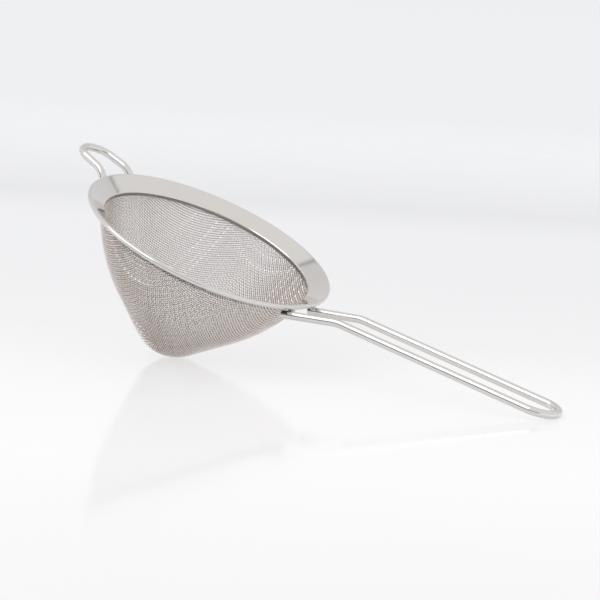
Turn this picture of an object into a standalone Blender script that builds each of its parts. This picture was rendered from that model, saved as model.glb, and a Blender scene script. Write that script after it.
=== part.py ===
"""Conical fine-mesh tea strainer: a woven basket, a stamped rim, a wire handle and a wire rest hook.

Everything is modelled level in the rim's own frame (the rim's top edge is z = 0, the basket hangs
down -Z, the handle points along +X) and then tilted as one, so that the strainer lies on a table on
the tip of its basket and the end of its handle.
"""

import math

import bmesh
import bpy
from mathutils import Vector

MM = 0.001

# Rim: one stamped ring of sheet steel, a sloping flange with a rolled outer edge and a turned-down lip
RIM_RADIUS = 47.0 * MM
SHEET = 0.4 * MM
FLANGE_SLOPE = math.radians(30.0)
HEM_HEIGHT = 1.7 * MM
HEM_RETURN = 0.75 * MM
LIP_RADIUS = 39.7 * MM
LIP_DROP = 1.35 * MM
LIP_BEND = 0.5 * MM

# Basket: woven cloth deep drawn to a cone with a round nose; its edge runs up under the flange
CLOTH = 0.7 * MM
BASKET_DEPTH = 48.2 * MM
NOSE_RADIUS = 16.2 * MM
FLANK_ANGLE = math.radians(44.9)
WALL_ANGLE = math.radians(69.5)
WALL_RADIUS = 70.0 * MM
NECK_RADIUS = 41.4 * MM
NECK_BEND = 1.5 * MM
EDGE_INSET = 0.35 * MM

# Handle: one wire bent to a long loop, its two feet welded under the rim
WIRE = 3.0 * MM
HANDLE_FOOT = (44.1 * MM, -4.55 * MM)
HANDLE_ELBOW = (64.3 * MM, 4.3 * MM)
HANDLE_END = (138.7 * MM, 18.0 * MM)
ELBOW_BEND = 14.0 * MM
HANDLE_FOOT_SPREAD = 8.4 * MM
HANDLE_ELBOW_SPREAD = 7.7 * MM
HANDLE_END_SPREAD = 7.6 * MM

# Rest hook: one short wire loop opposite the handle, which hangs on the far edge of the cup
HOOK_FOOT_SPREAD = 8.5 * MM
HOOK_END_SPREAD = 7.1 * MM
HOOK_FOOT = (-43.7 * MM, -5.2 * MM)
HOOK_HEEL = (-46.4 * MM, -3.7 * MM)
HOOK_KNEE = (-50.45 * MM, 0.0 * MM)
HOOK_END = (-58.1 * MM, 0.5 * MM)
HOOK_HEEL_BEND = 4.0 * MM
HOOK_KNEE_BEND = 8.0 * MM
# The wire's eight sides are turned by half of one, so that a flat runs along its underside
FLAT_DOWN = math.pi / 8

# Welds: a small bead of metal beside each foot, in the corner between the wire and the hem
BEAD_LENGTH = 2.2 * MM
BEAD_WIDTH = 1.1 * MM
BEAD_INSET = 2.2 * MM
BEAD_CLEARANCE = 0.33 * MM

# Fineness of the turned and bent shapes
RIM_STEPS = 72
BASKET_STEPS = 64
ARC_STEP = math.radians(12.0)
ROLL_STEP = math.radians(30.0)
ELBOW_STEP = math.radians(3.0)
LOOP_STEPS = 12
MERGE = 0.00001

STEEL = (0.62, 0.60, 0.57, 1.0)
CLOTH_STEEL = (0.42, 0.40, 0.37, 1.0)
WELD_STEEL = (0.45, 0.43, 0.41, 1.0)


def clear_scene():
    for item in list(bpy.data.objects):
        bpy.data.objects.remove(item, do_unlink=True)


def make_material(name, colour, roughness):
    material = bpy.data.materials.new(name)
    material.use_nodes = True
    shader = material.node_tree.nodes["Principled BSDF"]
    shader.inputs["Base Color"].default_value = colour
    shader.inputs["Roughness"].default_value = roughness
    shader.inputs["Metallic"].default_value = 1.0
    return material


def rounded_path(corners, radii, step=ARC_STEP):
    """The 2D path through these corners, each inner one rounded to its radius by a tangent arc."""
    points = [Vector(corners[0])]
    for before, corner, after, radius in zip(corners, corners[1:], corners[2:], radii):
        corner = Vector(corner)
        arriving = (corner - Vector(before)).normalized()
        leaving = (Vector(after) - corner).normalized()
        turn = arriving.angle_signed(leaving)
        reach = radius * math.tan(abs(turn) / 2)
        side = Vector((-arriving.y, arriving.x)) * (-1 if turn > 0 else 1)
        centre = corner - arriving * reach + side * radius
        spoke = -side * radius
        count = max(2, math.ceil(abs(turn) / step))
        for i in range(count + 1):
            angle = -turn * i / count
            cosine, sine = math.cos(angle), math.sin(angle)
            turned = Vector((spoke.x * cosine - spoke.y * sine, spoke.x * sine + spoke.y * cosine))
            points.append(centre + turned)
    points.append(Vector(corners[-1]))
    return [point for i, point in enumerate(points) if i == 0 or (point - points[i - 1]).length > MERGE]


def offset_path(path, distance):
    """The path moved sideways, to the left of its direction, with every corner kept parallel."""
    headings = [(b - a).normalized() for a, b in zip(path, path[1:])]
    moved = []
    for i, point in enumerate(path):
        before = headings[max(i - 1, 0)]
        after = headings[min(i, len(headings) - 1)]
        left = Vector((-before.y - after.y, before.x + after.x)).normalized()
        moved.append(point + left * distance / left.dot(Vector((-before.y, before.x))))
    return moved


def make_turned(name, section, closed, steps, material, collection):
    """A section in the XZ plane turned about Z. An open section has both of its ends on the axis."""
    mesh = bpy.data.meshes.new(name)
    edges = [(i, i + 1) for i in range(len(section) - 1)]
    if closed:
        edges.append((len(section) - 1, 0))
    mesh.from_pydata([(point.x, 0.0, point.y) for point in section], edges, [])
    piece = bpy.data.objects.new(name, mesh)
    collection.objects.link(piece)
    mesh.materials.append(material)
    screw = piece.modifiers.new("Turn", "SCREW")
    screw.steps = steps
    screw.render_steps = steps
    screw.use_merge_vertices = True
    screw.merge_threshold = MERGE
    screw.use_smooth_shade = True
    return piece


def make_rim(material, collection):
    """The section follows the sheet's middle: lip, flange, roll and the return of the hem."""
    roll = (HEM_HEIGHT - SHEET) / 2
    outward = Vector((math.cos(FLANGE_SLOPE), math.sin(FLANGE_SLOPE)))
    upward = Vector((-outward.y, outward.x))
    roll_centre = Vector((RIM_RADIUS - HEM_HEIGHT / 2, -HEM_HEIGHT / 2))
    flange_end = roll_centre + upward * roll
    lip_top = flange_end - outward * (flange_end.x - LIP_RADIUS) / outward.x
    lip_foot = lip_top - Vector((0.0, LIP_DROP))
    middle = rounded_path([lip_foot, lip_top, flange_end], [LIP_BEND])
    half_turn_steps = round(math.pi / ROLL_STEP)
    first = math.pi / 2 + FLANGE_SLOPE
    for i in range(1, half_turn_steps + 1):
        angle = first - math.pi * i / half_turn_steps
        middle.append(roll_centre + Vector((math.cos(angle), math.sin(angle))) * roll)
    middle.append(middle[-1] - outward * HEM_RETURN)
    section = offset_path(middle, SHEET / 2) + offset_path(middle, -SHEET / 2)[::-1]
    return make_turned("rim_ring", section, True, RIM_STEPS, material, collection)


def basket_path():
    """The middle of the cloth, from the tip of the nose to its edge inside the hem."""
    tip = -BASKET_DEPTH + CLOTH / 2
    nose = NOSE_RADIUS - CLOTH / 2
    nose_corner = nose * math.tan(FLANK_ANGLE / 2)
    slope = math.tan(FLANGE_SLOPE)
    hem_centre = Vector((RIM_RADIUS - HEM_HEIGHT / 2, -HEM_HEIGHT / 2))
    neck = Vector((NECK_RADIUS - CLOTH / 2, hem_centre.y - (hem_centre.x - NECK_RADIUS + CLOTH / 2) * slope))
    edge = hem_centre - Vector((math.cos(FLANGE_SLOPE), math.sin(FLANGE_SLOPE))) * EDGE_INSET
    flank = Vector((math.cos(FLANK_ANGLE), math.sin(FLANK_ANGLE)))
    wall = Vector((math.cos(WALL_ANGLE), math.sin(WALL_ANGLE)))
    start = Vector((nose_corner, tip))
    gap = neck - start
    along_flank = (gap.x * wall.y - gap.y * wall.x) / (flank.x * wall.y - flank.y * wall.x)
    shoulder = start + flank * along_flank
    corners = [Vector((0.0, tip)), start, shoulder, neck, edge]
    return rounded_path(corners, [nose, WALL_RADIUS, NECK_BEND])


def make_basket(material, collection):
    middle = basket_path()
    past_axis = [Vector((-middle[1].x, middle[1].y))] + middle
    inner = offset_path(past_axis, CLOTH / 2)[1:]
    outer = offset_path(past_axis, -CLOTH / 2)[1:]
    return make_turned("mesh_basket", inner + outer[::-1], False, BASKET_STEPS, material, collection)


def make_loop_wire(name, profile, spreads, material, collection):
    """A wire bent to a U: out along one leg, round the end and back. The profile lies in XZ."""
    lengths = [0.0]
    for a, b in zip(profile, profile[1:]):
        lengths.append(lengths[-1] + (b - a).length)
    leg = []
    for point, length in zip(profile, lengths):
        share = length / lengths[-1] * (len(spreads) - 1)
        i = min(int(share), len(spreads) - 2)
        spread = spreads[i] + (spreads[i + 1] - spreads[i]) * (share - i)
        leg.append((point, spread))
    end, radius = leg[-1]
    heading = (profile[-1] - profile[-2]).normalized()
    points = [(p.x, -spread, p.y) for p, spread in leg]
    for i in range(1, LOOP_STEPS):
        angle = math.pi * i / LOOP_STEPS
        ahead = end + heading * radius * math.sin(angle)
        points.append((ahead.x, -radius * math.cos(angle), ahead.y))
    points += [(p.x, spread, p.y) for p, spread in reversed(leg)]
    curve = bpy.data.curves.new(name, "CURVE")
    curve.dimensions = "3D"
    curve.bevel_depth = WIRE / 2
    curve.bevel_resolution = 2
    curve.use_fill_caps = True
    spline = curve.splines.new("POLY")
    spline.points.add(len(points) - 1)
    for target, point in zip(spline.points, points):
        target.co = (*point, 1.0)
        target.tilt = FLAT_DOWN
    curve.materials.append(material)
    piece = bpy.data.objects.new(name, curve)
    collection.objects.link(piece)
    return piece


def make_handle(material, collection):
    profile = rounded_path([HANDLE_FOOT, HANDLE_ELBOW, HANDLE_END], [ELBOW_BEND], ELBOW_STEP)
    spreads = [HANDLE_FOOT_SPREAD] + [HANDLE_ELBOW_SPREAD] * 2 + [HANDLE_END_SPREAD] * 2
    return make_loop_wire("handle_wire", profile, spreads, material, collection)


def make_hook(material, collection):
    corners = [HOOK_FOOT, HOOK_HEEL, HOOK_KNEE, HOOK_END]
    profile = rounded_path(corners, [HOOK_HEEL_BEND, HOOK_KNEE_BEND])
    spreads = [HOOK_FOOT_SPREAD, HOOK_END_SPREAD]
    return make_loop_wire("rest_hook", profile, spreads, material, collection)


def make_bead(name, side, spread, material, collection):
    """A lens of weld metal just inside a leg and just under the hem, lying along the wire."""
    mesh = bpy.data.meshes.new(name)
    shape = bmesh.new()
    bmesh.ops.create_uvsphere(shape, u_segments=12, v_segments=8, radius=0.5)
    bmesh.ops.scale(shape, vec=(BEAD_LENGTH, BEAD_WIDTH, BEAD_WIDTH), verts=shape.verts)
    shape.to_mesh(mesh)
    shape.free()
    mesh.shade_smooth()
    mesh.materials.append(material)
    piece = bpy.data.objects.new(name, mesh)
    collection.objects.link(piece)
    across = spread - math.copysign(BEAD_INSET, spread)
    hem_middle = RIM_RADIUS - HEM_HEIGHT / 2
    along = math.sqrt(hem_middle**2 - across**2)
    piece.location = (side * along, across, -HEM_HEIGHT - BEAD_CLEARANCE - BEAD_WIDTH / 2)
    return piece


def resting_tilt():
    """The tilt at which one flat table touches both the round nose and the round wire of the handle's end."""
    nose_height = -BASKET_DEPTH + NOSE_RADIUS
    heading = math.atan2(HANDLE_END[1] - HANDLE_ELBOW[1], HANDLE_END[0] - HANDLE_ELBOW[0])
    end_x = HANDLE_END[0] + HANDLE_END_SPREAD * math.cos(heading)
    end_z = HANDLE_END[1] + HANDLE_END_SPREAD * math.sin(heading)
    rise = end_z - nose_height
    return math.atan2(rise, end_x) + math.asin((NOSE_RADIUS - WIRE / 2) / math.hypot(end_x, rise))


def lay_on_table(frame, pieces):
    """Moves the tilted strainer so that its box is centred on the origin and stands on z = 0."""
    bpy.context.view_layer.update()
    graph = bpy.context.evaluated_depsgraph_get()
    low = Vector((math.inf,) * 3)
    high = Vector((-math.inf,) * 3)
    for piece in pieces:
        evaluated = piece.evaluated_get(graph)
        mesh = evaluated.to_mesh()
        for vertex in mesh.vertices:
            place = evaluated.matrix_world @ vertex.co
            low = Vector(map(min, low, place))
            high = Vector(map(max, high, place))
        evaluated.to_mesh_clear()
    frame.location = (-(low.x + high.x) / 2, -(low.y + high.y) / 2, -low.z)


def main():
    clear_scene()
    collection = bpy.data.collections.new("tea_strainer")
    bpy.context.scene.collection.children.link(collection)
    polished = make_material("polished_steel", STEEL, 0.12)
    woven = make_material("woven_steel", CLOTH_STEEL, 0.35)
    welded = make_material("weld_steel", WELD_STEEL, 0.4)
    pieces = [
        make_rim(polished, collection),
        make_basket(woven, collection),
        make_handle(polished, collection),
        make_hook(polished, collection),
        make_bead("weld_bead_handle_left", 1, HANDLE_FOOT_SPREAD, welded, collection),
        make_bead("weld_bead_handle_right", 1, -HANDLE_FOOT_SPREAD, welded, collection),
        make_bead("weld_bead_hook_left", -1, HOOK_FOOT_SPREAD, welded, collection),
        make_bead("weld_bead_hook_right", -1, -HOOK_FOOT_SPREAD, welded, collection),
    ]
    frame = bpy.data.objects.new("strainer_frame", None)
    collection.objects.link(frame)
    frame.rotation_euler = (0.0, resting_tilt(), 0.0)
    for piece in pieces:
        piece.parent = frame
    lay_on_table(frame, pieces)


main()
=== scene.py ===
"""Looks of the conical tea strainer: polished rim, woven wire basket, bent wire handle and rest hook.

Sizes are the steel's own, in the rim's frame: the rim's top edge is z = 0, the basket hangs down -Z and
the handle points along +X. The strainer is then tilted as one, to lie on its basket and its handle.
"""

import math
from bisect import bisect_right

import bmesh
import bpy
from mathutils import Matrix, Vector, noise


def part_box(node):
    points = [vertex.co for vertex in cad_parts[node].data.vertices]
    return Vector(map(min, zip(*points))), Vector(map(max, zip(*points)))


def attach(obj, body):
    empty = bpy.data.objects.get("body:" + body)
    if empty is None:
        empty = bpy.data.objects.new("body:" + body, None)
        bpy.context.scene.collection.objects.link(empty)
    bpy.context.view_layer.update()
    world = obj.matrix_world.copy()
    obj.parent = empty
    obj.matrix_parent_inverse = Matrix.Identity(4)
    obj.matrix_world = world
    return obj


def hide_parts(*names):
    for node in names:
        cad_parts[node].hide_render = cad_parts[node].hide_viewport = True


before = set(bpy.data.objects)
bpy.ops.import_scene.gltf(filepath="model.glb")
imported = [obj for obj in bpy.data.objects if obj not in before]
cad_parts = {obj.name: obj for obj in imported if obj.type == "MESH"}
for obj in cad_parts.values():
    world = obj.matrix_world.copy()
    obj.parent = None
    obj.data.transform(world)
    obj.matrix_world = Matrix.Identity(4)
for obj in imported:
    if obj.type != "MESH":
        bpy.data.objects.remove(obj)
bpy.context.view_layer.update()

MM = 0.001

# Rim: one stamped ring of sheet steel, a sloping flange with a rolled outer edge and a turned-down lip
RIM_RADIUS = 47.0 * MM
SHEET = 0.4 * MM
FLANGE_SLOPE = math.radians(30.0)
HEM_HEIGHT = 1.7 * MM
HEM_RETURN = 0.75 * MM
LIP_RADIUS = 39.7 * MM
LIP_DROP = 1.35 * MM
LIP_BEND = 0.5 * MM
ROLL_STEPS = 24
RIM_STEPS = 384
LIP_ARC = math.radians(6.0)
# How dark the lip's inner face is painted, as painted shade, where 1 is the inside of the hem
LIP_SHADE = 0.6

# Basket: square-woven cloth deep drawn to a cone with a round nose; its edge runs up into the hem
CLOTH = 0.7 * MM
BASKET_DEPTH = 48.2 * MM
NOSE_RADIUS = 16.2 * MM
FLANK_ANGLE = math.radians(44.9)
WALL_ANGLE = math.radians(69.5)
WALL_RADIUS = 70.0 * MM
NECK_RADIUS = 41.4 * MM
NECK_BEND = 1.5 * MM
EDGE_INSET = 0.35 * MM
SPARE_EDGE = 6.0 * MM
NOSE_LIFT = 0.02 * MM
# Above this height the cloth is painted dark, as painted shade where it runs in under the hem
HEM_SHADE_FOOT = -3.6 * MM
PITCH = 0.9 * MM
WALL_STRETCH = 0.2
STRETCH_FROM = 10.0 * MM
STRETCH_TO = 42.0 * MM
MESH_WIRE = 0.165 * MM
MESH_SIDES = 6
CRIMP = 0.16 * MM
CRIMP_STEPS = 3

# Finding where two wires of the cloth cross: how often to try, how far one try may go, when to stop
KNOT_TRIES = 24
KNOT_LEAD = 0.3
TURN_LIMIT = 0.3
RUN_CLOSE = 1e-8
TURN_CLOSE = 1e-6
NO_CROSSING = 1e-16

# Handle and rest hook: one wire each, bent to a loop. The strainer lies on the wire's full radius, and
# the shown radius is a little less, so that the round wire stays within the flats of the solid one.
LYING_WIRE = 1.5 * MM
WIRE = 1.44 * MM
WIRE_SIDES = 32
WIRE_SLACK = 0.06 * MM
HANDLE_FOOT = (44.1 * MM, -4.55 * MM)
HANDLE_ELBOW = (64.3 * MM, 4.3 * MM)
HANDLE_END = (138.7 * MM, 18.0 * MM)
ELBOW_BEND = 14.0 * MM
HANDLE_SPREADS = [8.4 * MM, 7.7 * MM, 7.7 * MM, 7.6 * MM, 7.6 * MM]
HOOK_SPREADS = [8.5 * MM, 7.1 * MM]
HOOK_FOOT = (-43.7 * MM, -5.2 * MM)
HOOK_HEEL = (-46.4 * MM, -3.7 * MM)
HOOK_KNEE = (-50.45 * MM, 0.0 * MM)
HOOK_END = (-58.1 * MM, 0.5 * MM)
HOOK_HEEL_BEND = 4.0 * MM
HOOK_KNEE_BEND = 8.0 * MM
HOOK_ARC = math.radians(3.0)
LOOP_STEPS = 36
LEG_STEP = 3.0 * MM
CUT_EDGE = 0.12 * MM
CUT_SHARE = 0.9

# Welds: a small bead of metal beside each foot, in the corner between the wire and the hem
BEAD_LENGTH = 2.8 * MM
BEAD_WIDTH = 1.5 * MM
BEAD_INSET = 1.8 * MM
BEAD_CLEARANCE = -0.05 * MM
BEAD_DETAIL = 4
BEAD_SWELL = 0.10
BEAD_RIPPLE = 0.04

# Table, light and camera
TABLE_RADIUS = 4.0
TABLE_SIDES = 96
TABLE_FADE = (0.3, 3.4)
SOFTBOX_SPOT = (-0.472, -1.166, 1.554)
SOFTBOX_AIM = (0.0, 0.0, 0.03)
SOFTBOX_SIZE = (1.6, 1.3)
SOFTBOX_POWER = 11.0
CAMERA_SPOT = (0.379094, -0.584896, 0.113397)
CAMERA_AIM = (-0.000456, -0.001699, 0.027467)
CAMERA_ROLL = math.radians(3.3165)
CAMERA_LENS = 120.7
CAMERA_SENSOR = 36.0

# Turn from one point of a smooth bend to the next, the gap below which points are one, and the angle
# above which an edge stays sharp
SMOOTH_ARC = math.radians(2.0)
MERGE = 0.01 * MM
SHARP = math.radians(40.0)


class Strand:
    """One output of a node tree, so that a finish can be written as plain sums of its outputs."""

    def __init__(self, tree, socket=None):
        self.tree = tree
        self.socket = socket

    def node(self, kind, settings=None, sockets=None, output=0):
        """Adds a node: its settings first, then the value or the link of each of its sockets."""
        made = self.tree.nodes.new(kind)
        for name, value in (settings or {}).items():
            if name == "stops":
                ramp = made.color_ramp
                while len(ramp.elements) < len(value):
                    ramp.elements.new(1.0)
                for element, (position, colour) in zip(ramp.elements, value):
                    element.position = position
                    element.color = (*colour, 1.0)
            else:
                setattr(made, name, value)
        for name, value in (sockets or {}).items():
            if isinstance(value, Strand):
                self.tree.links.new(value.socket, made.inputs[name])
            else:
                made.inputs[name].default_value = value
        return Strand(self.tree, made.outputs[output])

    def maths(self, operation, first, second=0.0):
        return self.node("ShaderNodeMath", {"operation": operation}, {0: first, 1: second})

    def __add__(self, other):
        return self.maths("ADD", self, other)

    def __radd__(self, other):
        return self.maths("ADD", other, self)

    def __sub__(self, other):
        return self.maths("SUBTRACT", self, other)

    def __rsub__(self, other):
        return self.maths("SUBTRACT", other, self)

    def __mul__(self, other):
        return self.maths("MULTIPLY", self, other)

    def __rmul__(self, other):
        return self.maths("MULTIPLY", other, self)

    def __abs__(self):
        return self.maths("ABSOLUTE", self)

    def axes(self):
        """The X, Y and Z of a place or a direction, one by one."""
        split = self.node("ShaderNodeSeparateXYZ", {}, {0: self}).socket.node
        return [Strand(self.tree, output) for output in split.outputs]

    def rise(self, low, high):
        """0 below low, 1 above high and smooth between them."""
        settings = {"interpolation_type": "SMOOTHSTEP"}
        return self.node("ShaderNodeMapRange", settings, {"Value": self, "From Min": low, "From Max": high})

    def blend(self, first, second):
        """The first colour where this is 0, the second where it is 1."""
        sockets = {0: self, 6: first, 7: second}
        return self.node("ShaderNodeMix", {"data_type": "RGBA"}, sockets, 2)

    def ramp(self, stops):
        """The colour at this value along a list of (position, colour)."""
        return self.node("ShaderNodeValToRGB", {"stops": stops}, {"Fac": self}, "Color")


def rgba(red, green, blue):
    return (red, green, blue, 1.0)


# Finishes


def new_finish(name, metallic=1.0):
    """A new material, the place on its piece to write it with, and its shader."""
    material = bpy.data.materials.new(name)
    material.use_nodes = True
    tree = material.node_tree
    shader = tree.nodes["Principled BSDF"]
    shader.inputs["Metallic"].default_value = metallic
    return material, Strand(tree).node("ShaderNodeTexCoord", {}, {}, "Object"), shader


def link(strand, node, socket):
    strand.tree.links.new(strand.socket, node.inputs[socket])


def grain(place, scale, detail=3.0):
    return place.node("ShaderNodeTexNoise", {}, {"Vector": place, "Scale": scale, "Detail": detail}, "Fac")


def stretched(place, scale):
    """The place with each axis scaled, so that a grain read there runs in lines."""
    return place.node("ShaderNodeMapping", {"vector_type": "POINT"}, {"Vector": place, "Scale": scale})


def painted(place, name):
    """A value that a piece's own mesh carries."""
    return place.node("ShaderNodeAttribute", {"attribute_name": name}, {}, "Fac")


def relieve(shader, height, strength, distance):
    """Gives a surface its fine relief."""
    sockets = {"Strength": strength, "Distance": distance, "Height": height}
    link(height.node("ShaderNodeBump", {}, sockets), shader, "Normal")


def polished_finish(name, lines, haze):
    """Mirror-polished steel: faint buffing lines, clouding from handling and a few deeper scratches.

    Where the piece has a fold value the steel is painted near black and rougher: painted shade inside the
    hem's fold and on the lip's inner face.
    """
    material, place, shader = new_finish(name)
    cloud = grain(place, 55.0)
    smudge = grain(place, 210.0, 4.0).rise(0.52, 0.72)
    buffing = grain(stretched(place, lines), 1.0, 2.0)
    deeper = stretched(place, tuple(along * 0.35 for along in lines))
    scratch = grain(deeper, 1.0, 1.0).rise(0.70, 0.78)
    clean = cloud.blend(rgba(0.74, 0.725, 0.71), rgba(0.79, 0.775, 0.76))
    # Painted shade: near black inside the hem's fold and on the lip's inner face
    fold = painted(place, "fold")
    link(fold.blend(clean, rgba(0.07, 0.053, 0.043)), shader, "Base Color")
    wear = 0.05 * cloud + 0.06 * smudge + 0.05 * buffing + 0.08 * scratch
    link(haze + wear + 0.2 * fold, shader, "Roughness")
    relieve(shader, 0.6 * buffing + 0.8 * scratch, 0.12, 0.02 * MM)
    return material


def woven_finish(name):
    """Drawn wire, with a painted highlight at the crossings of the weave and painted shade, brownish,
    midway between them along its holes.
    """
    material, place, shader = new_finish(name)
    crown = abs(painted(place, "bow")).rise(0.10, 0.70)
    batch = grain(place, 45.0)
    drawn = grain(place, 7000.0, 2.0)
    # Painted highlight at the crossings and painted shade midway between them: lit and shaded copies of the
    # wire's colour
    crown_highlight = batch.blend(rgba(0.92, 0.87, 0.835), rgba(0.96, 0.92, 0.89))
    valley_shade = batch.blend(rgba(0.20, 0.155, 0.13), rgba(0.24, 0.19, 0.165))
    # Painted shade: near black where the cloth runs in under the hem
    seam = 0.8 * painted(place, "seam")
    link(seam.blend(crown.blend(valley_shade, crown_highlight), rgba(0.06, 0.05, 0.045)), shader, "Base Color")
    link(0.24 + 0.06 * drawn, shader, "Roughness")
    relieve(shader, drawn, 0.15, 0.01 * MM)
    return material


def weld_finish(name):
    """Spot-weld metal: rippled, dull, with straw to brown heat colours."""
    material, place, shader = new_finish(name)
    ripple = grain(place, 2600.0)
    heat = grain(place, 700.0, 2.0)
    stops = [
        (0.30, (0.74, 0.72, 0.70)),
        (0.50, (0.70, 0.65, 0.58)),
        (0.64, (0.56, 0.48, 0.40)),
        (0.76, (0.46, 0.45, 0.47)),
    ]
    link(heat.ramp(stops), shader, "Base Color")
    link(0.25 + 0.25 * ripple, shader, "Roughness")
    relieve(shader, ripple, 0.5, 0.08 * MM)
    return material


# Shapes shared by several pieces


def rounded_path(corners, radii, step):
    """The 2D path through these corners, each inner one rounded to its radius by a tangent arc."""
    points = [Vector(corners[0])]
    for before, corner, after, radius in zip(corners, corners[1:], corners[2:], radii):
        corner = Vector(corner)
        arriving = (corner - Vector(before)).normalized()
        leaving = (Vector(after) - corner).normalized()
        turn = arriving.angle_signed(leaving)
        reach = radius * math.tan(abs(turn) / 2)
        side = Vector((-arriving.y, arriving.x)) * (-1 if turn > 0 else 1)
        centre = corner - arriving * reach + side * radius
        count = max(2, math.ceil(abs(turn) / step))
        for i in range(count + 1):
            points.append(centre + Matrix.Rotation(-turn * i / count, 2) @ (-side * radius))
    points.append(Vector(corners[-1]))
    return [point for i, point in enumerate(points) if i == 0 or (point - points[i - 1]).length > MERGE]


def offset_path(path, distance):
    """The path moved sideways, to the left of its direction, with every corner kept parallel."""
    headings = [(b - a).normalized() for a, b in zip(path, path[1:])]
    moved = []
    for i, point in enumerate(path):
        before = headings[max(i - 1, 0)]
        after = headings[min(i, len(headings) - 1)]
        left = Vector((-before.y - after.y, before.x + after.x)).normalized()
        moved.append(point + left * distance / left.dot(Vector((-before.y, before.x))))
    return moved


def resting_tilt():
    """The tilt at which one flat table touches both the round nose and the end of the handle."""
    nose_height = -BASKET_DEPTH + NOSE_RADIUS
    heading = math.atan2(HANDLE_END[1] - HANDLE_ELBOW[1], HANDLE_END[0] - HANDLE_ELBOW[0])
    end_x = HANDLE_END[0] + HANDLE_SPREADS[-1] * math.cos(heading)
    end_z = HANDLE_END[1] + HANDLE_SPREADS[-1] * math.sin(heading)
    rise = end_z - nose_height
    return math.atan2(rise, end_x) + math.asin((NOSE_RADIUS - LYING_WIRE) / math.hypot(end_x, rise))


def rim_place():
    """The rim's frame on the table, from its tilt and where the CAD rim lies."""
    tilt = resting_tilt()
    low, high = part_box("rim_ring")
    roll = HEM_HEIGHT / 2
    x = (low.x + high.x) / 2 + roll * math.sin(tilt)
    z = high.z - roll - (RIM_RADIUS - roll) * math.sin(tilt) + roll * math.cos(tilt)
    return Matrix.Translation((x, 0.0, z)) @ Matrix.Rotation(tilt, 4, "Y")


def show(mesh, name, nodes):
    """Puts a finished mesh in the scene as a piece that rides on the strainer."""
    mesh.set_sharp_from_angle(angle=SHARP)
    piece = bpy.data.objects.new(name, mesh)
    bpy.context.scene.collection.objects.link(piece)
    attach(piece, "root")
    if nodes:
        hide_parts(*nodes)


# Geometry trees


def new_tree(name, inputs):
    """An empty geometry tree with these named inputs, and a strand for each of them."""
    tree = bpy.data.node_groups.new(name, "GeometryNodeTree")
    tree.interface.new_socket("Geometry", in_out="INPUT", socket_type="NodeSocketGeometry")
    for label, kind in inputs:
        tree.interface.new_socket(label, in_out="INPUT", socket_type=kind)
    tree.interface.new_socket("Geometry", in_out="OUTPUT", socket_type="NodeSocketGeometry")
    entry = tree.nodes.new("NodeGroupInput")
    strands = {socket.name: Strand(tree, socket) for socket in entry.outputs if socket.name}
    return tree, strands


def close_tree(shape, material):
    """Every tree ends alike: smooth, realised, with its material set."""
    smooth = shape.node("GeometryNodeSetShadeSmooth", {}, {"Geometry": shape})
    whole = shape.node("GeometryNodeRealizeInstances", {}, {"Geometry": smooth})
    coated = shape.node("GeometryNodeSetMaterial", {}, {"Geometry": whole, "Material": material})
    leave = shape.tree.nodes.new("NodeGroupOutput")
    shape.tree.links.new(coated.socket, leave.inputs["Geometry"])


def named(start, name, kind):
    """A value that the guide mesh carries."""
    settings = {"data_type": kind}
    return start.node("GeometryNodeInputNamedAttribute", settings, {"Name": name}, "Attribute")


def tube(path, given):
    """A round wire of the given thickness along a path, closed at both ends."""
    sockets = {"Resolution": given["Sides"], "Radius": given["Wire Radius"]}
    ring = path.node("GeometryNodeCurvePrimitiveCircle", {"mode": "RADIUS"}, sockets, "Curve")
    sockets = {"Curve": path, "Profile Curve": ring, "Fill Caps": True}
    return path.node("GeometryNodeCurveToMesh", {}, sockets)


def bent_wire_tree():
    """A round wire along a path, a little thinner at its cut ends."""
    inputs = [
        ("Wire Radius", "NodeSocketFloat"),
        ("Sides", "NodeSocketInt"),
        ("Material", "NodeSocketMaterial"),
    ]
    tree, given = new_tree("bent_wire", inputs)
    start = given["Geometry"]
    path = start.node("GeometryNodeMeshToCurve", {}, {"Mesh": start})
    thickness = named(start, "thickness", "FLOAT")
    path = start.node("GeometryNodeSetCurveRadius", {}, {"Curve": path, "Radius": thickness})
    close_tree(tube(path, given), given["Material"])
    return tree


def woven_wire_tree():
    """Wires along the lines of a net, each bowed out at one crossing and in at the next."""
    inputs = [
        ("Wire Radius", "NodeSocketFloat"),
        ("Sides", "NodeSocketInt"),
        ("Crimp", "NodeSocketFloat"),
        ("Crimp Steps", "NodeSocketInt"),
        ("Material", "NodeSocketMaterial"),
    ]
    tree, given = new_tree("woven_wires", inputs)
    start = given["Geometry"]
    bow = named(start, "bow", "FLOAT") * given["Crimp"]
    outward = named(start, "outward", "FLOAT_VECTOR")
    push = start.node("ShaderNodeVectorMath", {"operation": "SCALE"}, {0: outward, "Scale": bow}, 0)
    net = start.node("GeometryNodeSetPosition", {}, {"Geometry": start, "Offset": push})
    path = start.node("GeometryNodeMeshToCurve", {}, {"Mesh": net})
    path = start.node("GeometryNodeCurveSplineType", {"spline_type": "CATMULL_ROM"}, {"Curve": path})
    sockets = {"Geometry": path, "Resolution": given["Crimp Steps"]}
    path = start.node("GeometryNodeSetSplineResolution", {}, sockets)
    close_tree(tube(path, given), given["Material"])
    return tree


def grow(guide, tree, values):
    """The plain mesh that a tree makes from a guide mesh."""
    holder = bpy.data.objects.new("guide", guide)
    bpy.context.scene.collection.objects.link(holder)
    modifier = holder.modifiers.new("Grow", "NODES")
    modifier.node_group = tree
    inputs = [item for item in tree.interface.items_tree if item.in_out == "INPUT"]
    identifiers = {item.name: item.identifier for item in inputs}
    for label, value in values.items():
        modifier[identifiers[label]] = value
    graph = bpy.context.evaluated_depsgraph_get()
    mesh = bpy.data.meshes.new_from_object(holder.evaluated_get(graph), depsgraph=graph)
    bpy.data.objects.remove(holder)
    return mesh


# Rim


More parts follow.
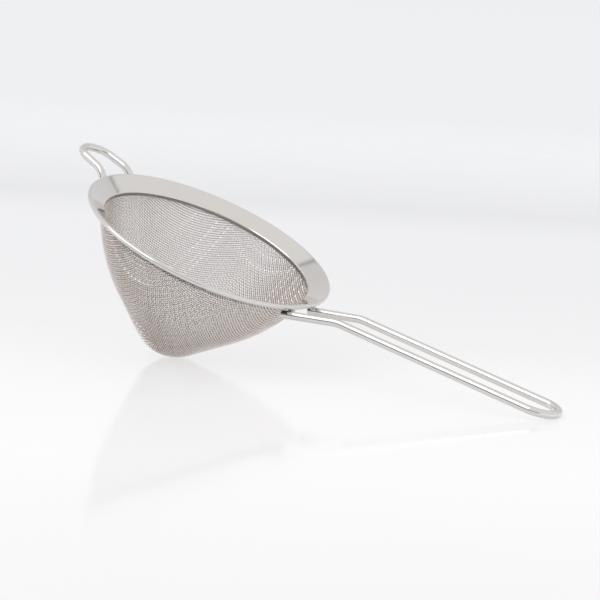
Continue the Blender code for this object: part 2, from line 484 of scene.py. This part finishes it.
def rim_section():
    """The closed outline of the sheet, and how much painted shade each point gets, inside the hem's fold or
    on the lip.

    It follows the sheet's middle line: lip, flange, roll and the return of the hem.
    """
    roll = (HEM_HEIGHT - SHEET) / 2
    outward = Vector((math.cos(FLANGE_SLOPE), math.sin(FLANGE_SLOPE)))
    upward = Vector((-outward.y, outward.x))
    roll_centre = Vector((RIM_RADIUS - HEM_HEIGHT / 2, -HEM_HEIGHT / 2))
    flange_end = roll_centre + upward * roll
    lip_top = flange_end - outward * (flange_end.x - LIP_RADIUS) / outward.x
    lip_foot = lip_top - Vector((0.0, LIP_DROP))
    middle = rounded_path([lip_foot, lip_top, flange_end], [LIP_BEND], LIP_ARC)
    lip_end = len(middle) - 2
    first = math.pi / 2 + FLANGE_SLOPE
    for i in range(1, ROLL_STEPS + 1):
        angle = first - math.pi * i / ROLL_STEPS
        middle.append(roll_centre + Vector((math.cos(angle), math.sin(angle))) * roll)
    middle.append(middle[-1] - outward * HEM_RETURN)
    # Painted shade per point: full on the flange's underside and inside the hem, a part of it on the lip
    fold_shades = [LIP_SHADE if i < 2 else 0.0 for i in range(len(middle))]
    fold_shades += [1.0 if i >= lip_end else LIP_SHADE for i in range(len(middle))][::-1]
    return offset_path(middle, SHEET / 2) + offset_path(middle, -SHEET / 2)[::-1], fold_shades


def make_rim(place, material):
    section, fold_shades = rim_section()
    count = len(section)
    points = []
    for step in range(RIM_STEPS):
        angle = 2 * math.pi * step / RIM_STEPS
        for spot in section:
            points.append(place @ Vector((spot.x * math.cos(angle), spot.x * math.sin(angle), spot.y)))
    faces = []
    for step in range(RIM_STEPS):
        here = step * count
        there = (step + 1) % RIM_STEPS * count
        for i in range(count):
            after = (i + 1) % count
            faces.append((here + i, there + i, there + after, here + after))
    mesh = bpy.data.meshes.new("polished_rim")
    mesh.from_pydata(points, [], faces)
    mesh.attributes.new("fold", "FLOAT", "POINT").data.foreach_set("value", fold_shades * RIM_STEPS)
    shape = bmesh.new()
    shape.from_mesh(mesh)
    bmesh.ops.recalc_face_normals(shape, faces=shape.faces)
    shape.to_mesh(mesh)
    shape.free()
    mesh.shade_smooth()
    mesh.materials.append(material)
    show(mesh, "polished_rim", ["rim_ring"])


# Basket


def basket_stations():
    """(run, radius, height) along the middle of the cloth, from the tip of the nose past its edge."""
    tip = -BASKET_DEPTH + CLOTH / 2 + NOSE_LIFT
    nose = NOSE_RADIUS - CLOTH / 2
    nose_corner = nose * math.tan(FLANK_ANGLE / 2)
    slope = math.tan(FLANGE_SLOPE)
    hem_centre = Vector((RIM_RADIUS - HEM_HEIGHT / 2, -HEM_HEIGHT / 2))
    neck_x = NECK_RADIUS - CLOTH / 2
    neck = Vector((neck_x, hem_centre.y - (hem_centre.x - neck_x) * slope))
    brim = Vector((math.cos(FLANGE_SLOPE), math.sin(FLANGE_SLOPE)))
    flank = Vector((math.cos(FLANK_ANGLE), math.sin(FLANK_ANGLE)))
    wall = Vector((math.cos(WALL_ANGLE), math.sin(WALL_ANGLE)))
    start = Vector((nose_corner, tip))
    gap = neck - start
    along_flank = (gap.x * wall.y - gap.y * wall.x) / (flank.x * wall.y - flank.y * wall.x)
    shoulder = start + flank * along_flank
    corners = [Vector((0.0, tip)), start, shoulder, neck, hem_centre + brim * SPARE_EDGE]
    path = rounded_path(corners, [nose, WALL_RADIUS, NECK_BEND], SMOOTH_ARC)
    runs = [0.0]
    for a, b in zip(path, path[1:]):
        runs.append(runs[-1] + (b - a).length)
    return runs, path, runs[-1] - SPARE_EDGE - EDGE_INSET


def knots_of(runs, path):
    """Where warp and weft cross over one quarter of the basket: {(i, j): (run, turn, point, outward)}.

    Square cloth keeps the length between its crossings and leans over as it is drawn, so each crossing
    lies one step of cloth away from two earlier ones. The two middle wires run straight up the basket.
    """

    def place_at(run, turn):
        i = min(max(bisect_right(runs, run) - 1, 0), len(runs) - 2)
        along = (path[i + 1] - path[i]) / (runs[i + 1] - runs[i])
        spot = path[i] + along * (run - runs[i])
        across = Vector((math.cos(turn), math.sin(turn), 0.0))
        return across * spot.x + Vector((0.0, 0.0, spot.y)), spot.x, along, across

    def knot(run, turn):
        point, _, along, across = place_at(run, turn)
        outward = across * along.y - Vector((0.0, 0.0, along.x))
        return run, turn, point, outward

    def next_knot(first, second, before, first_reach, second_reach):
        guess = first[2] + second[2] - before[2]
        turn = math.atan2(guess.y, guess.x)
        run = max(first[0], second[0]) + KNOT_LEAD * min(first_reach, second_reach)
        for _ in range(KNOT_TRIES):
            point, radius, along, across = place_at(run, turn)
            by_run = across * along.x + Vector((0.0, 0.0, along.y))
            by_turn = Vector((-across.y, across.x, 0.0)) * radius
            a, b = point - first[2], point - second[2]
            miss_a = a.length_squared - first_reach**2
            miss_b = b.length_squared - second_reach**2
            aa, ab = 2 * a.dot(by_run), 2 * a.dot(by_turn)
            ba, bb = 2 * b.dot(by_run), 2 * b.dot(by_turn)
            scale = aa * bb - ab * ba
            if abs(scale) < NO_CROSSING:
                return None
            run_step = (miss_a * bb - miss_b * ab) / scale
            turn_step = (aa * miss_b - ba * miss_a) / scale
            run -= max(-PITCH, min(PITCH, run_step))
            turn -= max(-TURN_LIMIT, min(TURN_LIMIT, turn_step))
            if abs(run_step) < RUN_CLOSE and abs(turn_step) < TURN_CLOSE:
                break
        return knot(run, turn)

    reaches = [0.0]
    knots = {(0, 0): knot(0.0, 0.0)}
    run = 0.0
    while run < runs[-1]:
        share = min(max((run - STRETCH_FROM) / (STRETCH_TO - STRETCH_FROM), 0.0), 1.0)
        step = PITCH * (1 + WALL_STRETCH * share * share * (3 - 2 * share))
        run += step
        reaches.append(step)
        knots[len(reaches) - 1, 0] = knot(run, 0.0)
        knots[0, len(reaches) - 1] = knot(run, math.pi / 2)
    for i in range(1, len(reaches)):
        for j in range(1, i + 1):
            first, second = knots.get((i - 1, j)), knots.get((i, j - 1))
            before = knots.get((i - 1, j - 1))
            if not (first and second and before) or max(first[0], second[0]) > runs[-1]:
                continue
            made = next_knot(first, second, before, reaches[i], reaches[j])
            if not made:
                continue
            knots[i, j] = made
            if i != j:
                knots[j, i] = knot(made[0], math.pi / 2 - made[1])
    return knots, knot


def net_lines(knots, knot, edge):
    """The wires of one direction, as {line number: [(point, outward, bow)]}; the other is its mirror."""
    far = max(i for i, _ in knots)
    lines = {}
    for line in range(-far, far + 1):
        wire = []
        for i in range(far + 1):
            found = knots.get((i, abs(line)))
            if not found:
                break
            if found[0] > edge:
                if wire:
                    last = knots[i - 1, abs(line)]
                    share = (edge - last[0]) / (found[0] - last[0])
                    wire.append((i, knot(edge, last[1] + (found[1] - last[1]) * share), 0.0))
                break
            wire.append((i, found, 1.0 if (i + line) % 2 else -1.0))
        if len(wire) < 3:
            continue
        points = []
        for sign, part in ((-1, wire[:0:-1]), (1, wire)):
            for _, (_, _, point, outward), bow in part:
                flip = Vector((sign, -1.0 if line < 0 else 1.0, 1.0))
                points.append((point * flip, outward * flip, bow))
        lines[line] = points
    return lines


def weave(name, lines, swap, bow_sign, place, tree, material, nodes):
    """One group of wires of one direction, as one piece; swap mirrors warp into weft."""
    turned = place.to_3x3()
    points, edges, outwards, bows, hem_shades = [], [], [], [], []
    for wire in lines:
        first = len(points)
        for point, outward, bow in wire:
            if swap:
                point, outward = point.yxz, outward.yxz
            points.append(place @ point)
            outwards.extend(turned @ outward)
            bows.append(bow * bow_sign)
            # Painted shade under the hem: 1 above its foot height
            hem_shades.append(1.0 if point.z > HEM_SHADE_FOOT else 0.0)
        edges.extend((i, i + 1) for i in range(first, len(points) - 1))
    guide = bpy.data.meshes.new("net")
    guide.from_pydata(points, edges, [])
    guide.attributes.new("outward", "FLOAT_VECTOR", "POINT").data.foreach_set("vector", outwards)
    guide.attributes.new("bow", "FLOAT", "POINT").data.foreach_set("value", bows)
    guide.attributes.new("seam", "FLOAT", "POINT").data.foreach_set("value", hem_shades)
    values = {"Wire Radius": MESH_WIRE, "Sides": MESH_SIDES, "Crimp": CRIMP}
    values |= {"Crimp Steps": CRIMP_STEPS, "Material": material}
    mesh = grow(guide, tree, values)
    mesh.name = name
    show(mesh, name, nodes)


def make_basket(place, material):
    runs, path, edge = basket_stations()
    knots, knot = knots_of(runs, path)
    lines = net_lines(knots, knot, edge)
    numbers = sorted(lines)
    total = sum(len(wire) for wire in lines.values())
    groups = [[], [], []]
    done = 0
    for number in numbers:
        groups[min(3 * done // total, 2)].append(lines[number])
        done += len(lines[number])
    tree = woven_wire_tree()
    sides = ("right", "middle", "left")
    for side, group in zip(sides, groups):
        nodes = ["mesh_basket"] if side == "middle" else []
        weave("warp_wires_" + side, group, False, 1.0, place, tree, material, nodes)
    sides = ("hook_side", "middle", "handle_side")
    for side, group in zip(sides, groups):
        weave("weft_wires_" + side, group, True, -1.0, place, tree, material, [])


# Handle and rest hook


def loop_leg(profile, spreads):
    """One leg from its foot, as (place along the profile, distance from the middle plane)."""
    fine = [profile[0]]
    for a, b in zip(profile, profile[1:]):
        count = max(1, math.ceil((b - a).length / LEG_STEP))
        fine += [a.lerp(b, i / count) for i in range(1, count + 1)]
    lengths = [0.0]
    for a, b in zip(fine, fine[1:]):
        lengths.append(lengths[-1] + (b - a).length)
    leg = []
    for spot, length in zip(fine, lengths):
        share = length / lengths[-1] * (len(spreads) - 1)
        i = min(int(share), len(spreads) - 2)
        spread = spreads[i] + (spreads[i + 1] - spreads[i]) * (share - i)
        leg.append((spot, spread))
    return leg


def make_loop(name, node, profile, spreads, place, tree, material):
    """A wire bent to a U: out along one leg, round the end and back. The profile lies in XZ."""
    leg = loop_leg(profile, spreads)
    end, radius = leg[-1]
    heading = (end - leg[-2][0]).normalized()
    cut = leg[0][0] + (leg[1][0] - leg[0][0]).normalized() * CUT_EDGE
    leg.insert(1, (cut, leg[0][1]))
    out = [(Vector((spot.x, -spread, spot.y)), 1.0) for spot, spread in leg]
    out[0] = (out[0][0], CUT_SHARE)
    loop = []
    for i in range(1, LOOP_STEPS):
        angle = math.pi * i / LOOP_STEPS
        ahead = end + heading * (radius - WIRE_SLACK) * math.sin(angle)
        loop.append((Vector((ahead.x, -radius * math.cos(angle), ahead.y)), 1.0))
    back = [(point * Vector((1.0, -1.0, 1.0)), share) for point, share in reversed(out)]
    path = out + loop + back
    guide = bpy.data.meshes.new("path")
    edges = [(i, i + 1) for i in range(len(path) - 1)]
    guide.from_pydata([place @ point for point, _ in path], edges, [])
    thickness = guide.attributes.new("thickness", "FLOAT", "POINT")
    thickness.data.foreach_set("value", [share for _, share in path])
    mesh = grow(guide, tree, {"Wire Radius": WIRE, "Sides": WIRE_SIDES, "Material": material})
    mesh.name = name
    show(mesh, name, [node])


def make_handle(place, tree, material):
    lift = Matrix.Translation((0.0, 0.0, WIRE_SLACK))
    profile = rounded_path([HANDLE_FOOT, HANDLE_ELBOW, HANDLE_END], [ELBOW_BEND], SMOOTH_ARC)
    make_loop("handle_loop", "handle_wire", profile, HANDLE_SPREADS, lift @ place, tree, material)


def make_hook(place, tree, material):
    corners = [HOOK_FOOT, HOOK_HEEL, HOOK_KNEE, HOOK_END]
    profile = rounded_path(corners, [HOOK_HEEL_BEND, HOOK_KNEE_BEND], HOOK_ARC)
    make_loop("hook_loop", "rest_hook", profile, HOOK_SPREADS, place, tree, material)


def make_bead(name, side, spread, place, material):
    """A lens of rippled weld metal just inside a leg and just under the hem."""
    shape = bmesh.new()
    bmesh.ops.create_icosphere(shape, subdivisions=BEAD_DETAIL, radius=0.5)
    across = spread - math.copysign(BEAD_INSET, spread)
    hem_middle = RIM_RADIUS - HEM_HEIGHT / 2
    along = math.sqrt(hem_middle**2 - across**2)
    centre = Vector((side * along, across, -HEM_HEIGHT - BEAD_CLEARANCE - BEAD_WIDTH / 2))
    for vertex in shape.verts:
        uneven = BEAD_SWELL * noise.noise(vertex.co * 3.0 + centre * 1000)
        swell = 1.0 + uneven + BEAD_RIPPLE * math.sin(vertex.co.x * 30)
        lens = vertex.co * Vector((BEAD_LENGTH, BEAD_WIDTH, BEAD_WIDTH)) * swell
        vertex.co = place @ (lens + centre)
    mesh = bpy.data.meshes.new(name)
    shape.to_mesh(mesh)
    shape.free()
    mesh.shade_smooth()
    mesh.materials.append(material)
    show(mesh, name.replace("weld_bead", "weld"), [name])


# Table, light and camera


def make_table():
    """A wide glossy white table that glows as painted light, a little more at the front, to lift the shade
    on it.
    """
    material, place, shader = new_finish("white_table", 0.0)
    cloud = grain(place, 9.0)
    link(cloud.blend(rgba(0.24, 0.24, 0.24), rgba(0.26, 0.26, 0.26)), shader, "Base Color")
    link(0.07 + 0.04 * cloud, shader, "Roughness")
    x, y, _ = place.axes()
    away = 0.2 + 0.83 * y - 0.54 * x
    stops = [
        (0.05, (0.62, 0.62, 0.625)),
        (0.20, (0.56, 0.56, 0.57)),
        (0.30, (0.48, 0.48, 0.49)),
        (0.50, (0.42, 0.42, 0.43)),
        (0.80, (0.37, 0.37, 0.38)),
        (1.00, (0.28, 0.28, 0.29)),
    ]
    # Painted light: the table's own glow, brightest at the front and dimmer away from it
    link(away.ramp(stops), shader, "Emission Color")
    shader.inputs["Emission Strength"].default_value = 1.0
    shader.inputs["Specular IOR Level"].default_value = 0.07
    distance = place.node("ShaderNodeVectorMath", {"operation": "LENGTH"}, {0: place}, "Value")
    clear = place.node("ShaderNodeBsdfTransparent")
    solid = Strand(place.tree, shader.outputs["BSDF"])
    mixed = place.node("ShaderNodeMixShader", {}, {0: distance.rise(*TABLE_FADE), 1: solid, 2: clear})
    link(mixed, place.tree.nodes["Material Output"], "Surface")
    shape = bmesh.new()
    bmesh.ops.create_circle(shape, cap_ends=True, segments=TABLE_SIDES, radius=TABLE_RADIUS)
    mesh = bpy.data.meshes.new("table")
    shape.to_mesh(mesh)
    shape.free()
    mesh.materials.append(material)
    table = bpy.data.objects.new("table", mesh)
    bpy.context.scene.collection.objects.link(table)


def make_backdrop():
    """The studio all round, by direction: warm white overhead, and two things that the steel mirrors.

    One is the dim room along the horizon in front. The other is a slightly greyer sheet, behind on the
    left, which ends in a dark edge.
    """
    world = bpy.data.worlds.new("studio")
    bpy.context.scene.world = world
    world.use_nodes = True
    tree = world.node_tree
    x, y, z = Strand(tree).node("ShaderNodeTexCoord", {}, {}, "Generated").axes()
    stops = [
        (0.0, (0.86, 0.87, 0.885)),
        (0.1, (0.85, 0.86, 0.87)),
        (0.35, (0.84, 0.835, 0.83)),
        (1.0, (0.87, 0.85, 0.83)),
    ]
    behind = y.rise(0.15, 0.35)
    # Below 0 is the side of the grey sheet, and 0 is the plane through its edge
    beyond = 0.790 * x - 0.383 * y + 0.479 * z
    sheet = (1.0 - beyond.rise(-0.03, 0.0)) * behind * z.rise(0.02, 0.10)
    grey = z.rise(0.10, 0.56).blend(rgba(0.755, 0.76, 0.77), rgba(0.74, 0.725, 0.72))
    colour = sheet.blend(z.ramp(stops), grey)
    edge = (1.0 - abs(beyond).rise(0.008, 0.030)) * behind * z.rise(0.36, 0.44)
    colour = (0.75 * edge).blend(colour, rgba(0.16, 0.16, 0.18))
    # The dim room is a low band, a little to the right of straight ahead
    facing = (0.07 * x - 0.997 * y).rise(0.62, 0.80)
    room = facing * (1.0 - z.rise(0.14, 0.28)) * z.rise(-0.04, -0.01)
    colour = (0.95 * room).blend(colour, rgba(0.04, 0.04, 0.045))
    link(colour, tree.nodes["Background"], "Color")


def make_softbox():
    data = bpy.data.lights.new("front_softbox", "AREA")
    data.shape = "RECTANGLE"
    data.size, data.size_y = SOFTBOX_SIZE
    data.energy = SOFTBOX_POWER
    box = bpy.data.objects.new("front_softbox", data)
    box.location = SOFTBOX_SPOT
    facing = Vector(SOFTBOX_AIM) - Vector(SOFTBOX_SPOT)
    box.rotation_euler = facing.to_track_quat("-Z", "Y").to_euler()
    bpy.context.scene.collection.objects.link(box)


def make_camera():
    data = bpy.data.cameras.new("product_camera")
    data.lens = CAMERA_LENS
    data.sensor_width = CAMERA_SENSOR
    data.clip_start = 10 * MM
    camera = bpy.data.objects.new("product_camera", data)
    camera.location = CAMERA_SPOT
    looking = Vector(CAMERA_AIM) - Vector(CAMERA_SPOT)
    level = looking.to_track_quat("-Z", "Y").to_matrix()
    camera.rotation_euler = (level @ Matrix.Rotation(CAMERA_ROLL, 3, "Z")).to_euler()
    bpy.context.scene.collection.objects.link(camera)
    bpy.context.scene.camera = camera


def main():
    place = rim_place()
    polished = polished_finish("buffed_steel", (900.0, 6000.0, 6000.0), 0.05)
    woven = woven_finish("drawn_mesh_wire")
    welded = weld_finish("weld_metal")
    make_rim(place, polished)
    make_basket(place, woven)
    wire_tree = bent_wire_tree()
    make_handle(place, wire_tree, polished)
    make_hook(place, wire_tree, polished)
    make_bead("weld_bead_handle_left", 1, HANDLE_SPREADS[0], place, welded)
    make_bead("weld_bead_handle_right", 1, -HANDLE_SPREADS[0], place, welded)
    make_bead("weld_bead_hook_left", -1, HOOK_SPREADS[0], place, welded)
    make_bead("weld_bead_hook_right", -1, -HOOK_SPREADS[0], place, welded)
    make_table()
    make_backdrop()
    make_softbox()
    make_camera()
    bpy.context.scene.view_settings.view_transform = "Standard"


main()
